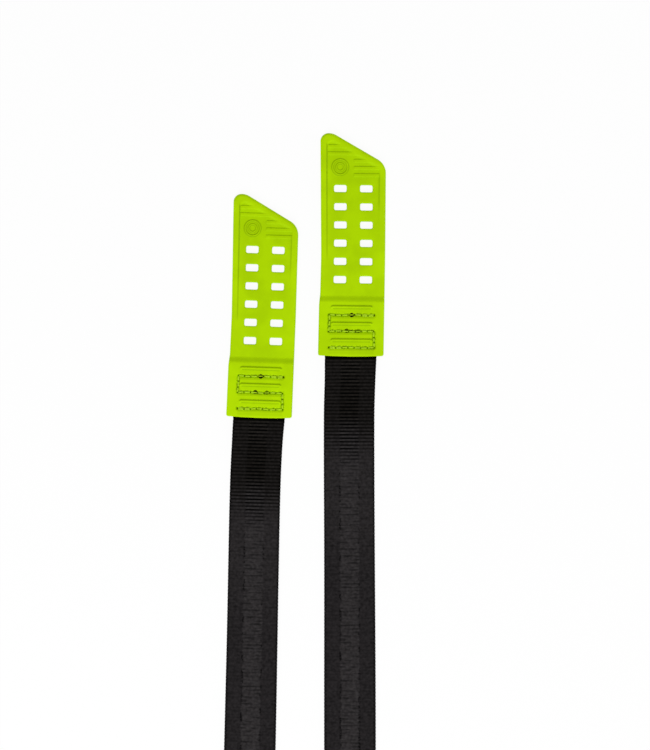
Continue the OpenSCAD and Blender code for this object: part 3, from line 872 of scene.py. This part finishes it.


# %% [markdown]
# ## Lime urethane
# The tab is injection-moulded urethane with a fine satin skin from the mould. Its colour is even, with
# faint flow clouds, and a little lighter towards the rim, where light comes through the thin edge. Grit
# sits in the stitch channel, most of it in the middle row, together with a painted shadow that the thread
# casts just above it. Through the core-pin holes the black webbing shows, with painted shade on their rims,
# and the needle pricks get painted shade too. The point attributes of the mesh darken those places and
# carry the painted shade lines. The skin's grain is a bump of a few hundredths of a millimetre; the edges
# are real geometry.

# %% Urethane finish
# The shade colour is for the painted shade lines, the grit colour also for the thread's painted shadow, and
# the hole colour for the webbing in the pin holes and the painted shade in the pits.
LIME, LIME_LIT, LIME_SHADE = (0.407, 0.664, 0.0, 1), (0.480, 0.778, 0.0, 1), (0.17, 0.30, 0.0, 1)
GRIT_AND_SHADOW, HOLE_DARK = (0.10, 0.17, 0.0, 1), (0.008, 0.014, 0.0, 1)
CLOUD_SHARE, RIM_SHARE, LINE_SHARE, GRIT_AND_SHADOW_SHARE = 0.6, 0.4, 0.55, 0.8


def urethane():
    """Lime lighter by clouds and rim, darker by painted shade, grit and holes; a fine bump on top."""
    start, close = new_finish("lime_urethane")
    place = start.node("TexCoord", out="Object")
    hole, channel, painted_shade, rim = (start.mark(name) for name in ("hole", "channel", "painted_shade", "rim"))
    clouds, grain, specks = place.noise(90.0, 3.0), place.noise(2600.0, 2.0), place.noise(900.0, 2.0)
    body = (CLOUD_SHARE * clouds.stepped(0.35, 0.65) + RIM_SHARE * rim).blend(LIME, LIME_LIT)
    # Painted shade lines darken the lime.
    lined = (LINE_SHARE * painted_shade).blend(body, LIME_SHADE)
    # Grit and the thread's painted shadow darken the channel.
    with_grit_and_shadow = (channel * GRIT_AND_SHADOW_SHARE * specks.stepped(0.45, 0.62)).blend(lined, GRIT_AND_SHADOW)
    colour = hole.stepped(0.15, 0.85).blend(with_grit_and_shadow, HOLE_DARK)
    skin = start.node("Bump", None, {"Strength": 0.25, "Distance": 0.04 * MM, "Height": grain})
    return close(Base_Color=colour, Roughness=0.5 + 0.1 * clouds, Specular_IOR_Level=0.03, Normal=skin)


lime_urethane = urethane()

# %% [markdown]
# ## Black webbing
# Nylon webbing is a weave of many fine warp yarns over crosswise weft ribs. The mesh carries its own weave
# coordinates, millimetres across and along the tape, so the yarns follow the strap through every bend. The
# middle band's yarns float longer and look greyer, with dotted edges. Light and shade are painted into the
# colour: away from the tab a painted sheen makes the tape greyer; next to it the rib tops are painted
# lighter and the valleys darker, and right at the mouth the tab's lip casts a painted shadow on it. No two
# yarns take the dye alike, so fine flecks run through all of it.

# %% Webbing finish
# Painted light and shade along the tape: the first three colours are the painted sheen of the far tape, the
# fourth painted shade in patches of its valleys; the next three are rib tops painted lighter near the tab,
# the two valley colours paint its valleys darker, the lip colour is the painted shadow of the tab's lip,
# and the last colour serves both the gaps at the band's edges and the painted shade along the selvedges.
SHEEN_BAND, SHEEN_SIDE = (0.0283, 0.0257, 0.0264, 1), (0.0217, 0.0195, 0.0201, 1)
FAR_SIDE, SHADED_VALLEY_PATCH = (0.0175, 0.0157, 0.0164, 1), (0.006, 0.006, 0.006, 1)
MOUTH_BAND, LIT_TOP_BAND = (0.0158, 0.0140, 0.0127, 1), (0.0111, 0.0096, 0.0084, 1)
LIT_TOP_SIDE, SIDE_VALLEY = (0.0120, 0.0106, 0.0101, 1), (0.0042, 0.0038, 0.0034, 1)
BAND_VALLEY, LIP_SHADE = (0.0006, 0.0006, 0.0006, 1), (0.001, 0.001, 0.001, 1)
GAP_AND_EDGE_SHADE = (0.0012, 0.0012, 0.0012, 1)
YARN_STEP, SELVEDGE_X = 0.62, 12.0
# From where to where along the tape each change happens, mm from its sewn end
LIP, NEAR_MOUTH, SHEEN_SPAN = (25.0, 25.9), (27.0, 42.0), (53.0, 68.0)
DOTTED, VALLEY_FADE, FAR = (60.0, 80.0), (62.0, 78.0), (95.0, 130.0)
SHEEN_SOONER, VALLEY_FADE_LATER = 2.0, 4.5


def webbing():
    """Rib tops over valleys in painted light and shade, a painted sheen further on, flecks and dark gaps.
    """
    start, close = new_finish("black_webbing")
    weave = start.mark("weave", out="Vector")
    across = start.node("SeparateXYZ", None, {0: weave}, out="X")
    along, side = across.output("Y"), abs(across)
    rib = 0.5 + 0.5 * along.math("COSINE", along * (2 * np.pi / WEFT_STEP))
    yarn = abs(across.math("SINE", across * (np.pi / YARN_STEP) + along * (np.pi / WEFT_STEP)))
    fuzz, blotch, flecks = weave.noise(1.1, 3.0), weave.noise(0.3, 2.0), weave.noise(0.75, 1.0)
    streak = start.node("VectorMath", {"operation": "MULTIPLY"}, {0: weave, 1: (0.16, 0.55, 1.0)})
    patch = streak.noise(1.0, 2.0)

    band = (BAND_HALF + (fuzz - 0.5) * 2.2 - side).stepped(-0.25, 0.25)
    # The painted sheen takes over from the painted rib light and shade, sooner in the band, and the
    # valleys' painted shade fades later there.
    sheen_share = (along + SHEEN_SOONER * band).stepped(*SHEEN_SPAN)
    valley_fade = (along - VALLEY_FADE_LATER * band).stepped(*VALLEY_FADE)
    sheen_grey = band.blend(along.stepped(*FAR).blend(SHEEN_SIDE, FAR_SIDE), SHEEN_BAND)
    groove = ((0.3 + 0.3 * band) * patch.stepped(0.42, 0.62)).blend(sheen_grey, SHADED_VALLEY_PATCH)
    lit_tops = band.blend(LIT_TOP_SIDE, along.stepped(*NEAR_MOUTH).blend(MOUTH_BAND, LIT_TOP_BAND))
    tops = sheen_share.blend(lit_tops, sheen_grey)
    valleys = valley_fade.blend(band.blend(SIDE_VALLEY, BAND_VALLEY), groove)
    # Rib tops painted lighter than the valleys, unevenly, and at the mouth the painted shadow of the tab's
    # lip.
    uneven = (rib.stepped(0.25, 0.75) - 0.5) * (2.2 * patch - 0.15)
    tone = along.stepped(*LIP).blend(LIP_SHADE, (0.5 + uneven).blend(valleys, tops))
    light = 1 + 1.4 * (flecks - 0.5)
    flecked = start.node("VectorMath", {"operation": "SCALE"}, {0: tone, "Scale": light})

    at_edge = 1 - abs(side - BAND_HALF).stepped(0.25, 0.8)
    broken = 0.85 * at_edge * blotch.stepped(0.5, 0.58) * fuzz.stepped(0.42, 0.55)
    dots = broken * along.stepped(*DOTTED)
    # Painted shade along both selvedges, deeper in the rib valleys.
    selvedge_shade = (1 - abs(side - SELVEDGE_X).stepped(0.15, 0.6)) * (0.8 - 0.5 * rib)
    colour = dots.math("MAXIMUM", dots, selvedge_shade).blend(flecked, GAP_AND_EDGE_SHADE)
    raised = 0.6 * yarn + 0.4 * fuzz
    skin = start.node("Bump", None, {"Strength": 0.5, "Distance": 0.12 * MM, "Height": raised})
    return close(Base_Color=colour, Roughness=0.75 + 0.15 * fuzz, Specular_IOR_Level=0.01, Normal=skin)


black_webbing = webbing()

# %% [markdown]
# ## Bonded thread
# The seam is sewn with bonded nylon dyed to match the tab. The three plies are in the mesh; the finish adds
# fine filaments along the twist and a slightly shinier coat than the moulded tab has.

# %% Thread finish
THREAD_DARK, THREAD_LIGHT = (0.36, 0.58, 0.0, 1), (0.5, 0.76, 0.02, 1)
FILAMENT_TURN = 6.0


def bonded_thread():
    """Two limes blended by the plies' waves along the thread and by fine fibres, which also bump it."""
    start, close = new_finish("lime_thread")
    travel = start.mark("travel")
    fibres = start.node("TexCoord", out="Object").noise(5200.0, 2.0)
    ply = abs(travel.math("SINE", travel * FILAMENT_TURN))
    colour = (0.5 * ply + 0.5 * fibres).stepped(0.2, 0.8).blend(THREAD_DARK, THREAD_LIGHT)
    skin = start.node("Bump", None, {"Strength": 0.4, "Distance": 0.03 * MM, "Height": fibres})
    return close(Base_Color=colour, Roughness=0.45 + 0.15 * fibres, Specular_IOR_Level=0.2, Normal=skin)


lime_thread = bonded_thread()

# %% [markdown]
# ## Putting the pieces on their bodies
# The tab and both threads ride on the tab's body. The webbing crosses the fold joint; it is baked where it
# lies, and the two ends of a bend 1.6 mm either side of the fold's axis are worked out but not used.

# %% Ride and bake
BEND_HALF = 1.6
BEND_FROM, BEND_TO = (np.array([0, FOLD_Y + half, WEB_Z]) for half in (BEND_HALF, -BEND_HALF))
finishes = {"urethane": lime_urethane, "webbing": black_webbing, "thread": lime_thread}
for strap in STRAPS:
    body = f"{strap}_tab"
    for piece, slot, nodes in (
            (tabs[strap], "urethane", [f"{strap}_tab"]),
            (needle_threads[strap], "thread", [f"{strap}_needle_thread"]),
            (bobbin_threads[strap], "thread", [f"{strap}_bobbin_thread"]),
            (webs[strap], "webbing", [f"{strap}_webbing_end", f"{strap}_webbing"])):
        piece.data.materials.append(finishes[slot])
        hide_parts(*nodes)
        if slot == "webbing":
            laid(strap, BEND_FROM)
            laid(strap, BEND_TO)
            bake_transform(piece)
        else:
            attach(piece, body)

# %% [markdown]
# ## Floor, light and camera
# The straps lie on a white table and are seen from straight above. A big soft lamp on the near side gives
# the gentle shading that shows the ribs and the ramp, a low one on the right lights the rims on that side,
# and the even world fills the rest, so that together a colour renders about as written. Floor and world
# are plain white where they are looked at, directly or in a gloss, and the floor keeps part of its own
# shaded white, so the straps still cast a soft shadow.

# %% Floor
FLOOR_Z, FLOOR_HALF, GLOW_SHARE = -0.0001, 3.0, 0.93
WHITE, PAPER_WHITE = (1, 1, 1, 1), (0.95, 0.95, 0.95, 1)
floor_mesh = bpy.data.meshes.new("table")
floor_mesh.from_pydata([(x * FLOOR_HALF, y * FLOOR_HALF, FLOOR_Z)
                        for x, y in ((-1, -1), (1, -1), (1, 1), (-1, 1))], [], [(0, 1, 2, 3)])
floor = bpy.data.objects.new("table", floor_mesh)
scene.collection.objects.link(floor)


def looked_at(begin):
    """1 for camera, glossy and transmitted rays, 0 for the rays that carry light."""
    rays = begin.node("LightPath", out="Is Camera Ray")
    bounced = rays.math("MAXIMUM", rays.output("Is Glossy Ray"), rays.output("Is Transmission Ray"))
    return rays.math("MAXIMUM", rays, bounced)


paper = bpy.data.materials.new("white_paper")
begin = emptied(paper)
shaded = begin.node("BsdfDiffuse", None, {"Color": PAPER_WHITE})
glow = begin.node("Emission", None, {"Color": WHITE, "Strength": 1.0})
surface = begin.node("MixShader", None, {0: looked_at(begin) * GLOW_SHARE, 1: shaded, 2: glow})
begin.node("OutputMaterial", None, {"Surface": surface})
floor_mesh.materials.append(paper)
print("table:", 2 * FLOOR_HALF, "m square")

# %% Light
WORLD_LIGHT = 0.51
world = bpy.data.worlds.new("studio")
sky = emptied(world)
strength = WORLD_LIGHT + (1 - WORLD_LIGHT) * looked_at(sky)
backdrop = sky.node("Background", None, {"Color": WHITE, "Strength": strength})
sky.node("OutputWorld", None, {"Surface": backdrop})
scene.world = world


def soft_lamp(name, place, aim, size, power):
    """A square area lamp at place that faces aim and stays out of sight itself."""
    lamp = bpy.data.lights.new(name, "AREA")
    lamp.size, lamp.energy = size, power
    holder = bpy.data.objects.new(name, lamp)
    holder.location = place
    holder.rotation_euler = (Vector(place) - Vector(aim)).to_track_quat("Z", "Y").to_euler()
    holder.visible_camera = False
    scene.collection.objects.link(holder)
    print(f"{name}: {power} W, {size} m wide")


VIEW_FROM_MOUTH = np.array([-0.01300, -0.00910])
VIEW_X, VIEW_Y = laid("right", np.zeros(3))[:2] + VIEW_FROM_MOUTH
soft_lamp("near_side_lamp", place=(VIEW_X - 0.35, VIEW_Y - 0.8, 0.82), aim=(VIEW_X, VIEW_Y, 0),
          size=0.7, power=8.4)
soft_lamp("right_side_lamp", place=(VIEW_X + 0.9, VIEW_Y + 0.15, 0.3), aim=(VIEW_X, VIEW_Y, 0),
          size=0.4, power=2.0)

# %% Camera
LENS, SENSOR, FRAME_HEIGHT, FOCUS_Z = 100.0, 36.0, 0.37215, 0.002
camera = bpy.data.cameras.new("camera")
camera.lens, camera.sensor_width = LENS, SENSOR
camera_object = bpy.data.objects.new("camera", camera)
camera_object.location = (VIEW_X, VIEW_Y, FOCUS_Z + FRAME_HEIGHT / 2 * LENS / (SENSOR / 2))
scene.collection.objects.link(camera_object)
scene.camera = camera_object
print("camera at, m:", [round(c, 4) for c in camera_object.location])
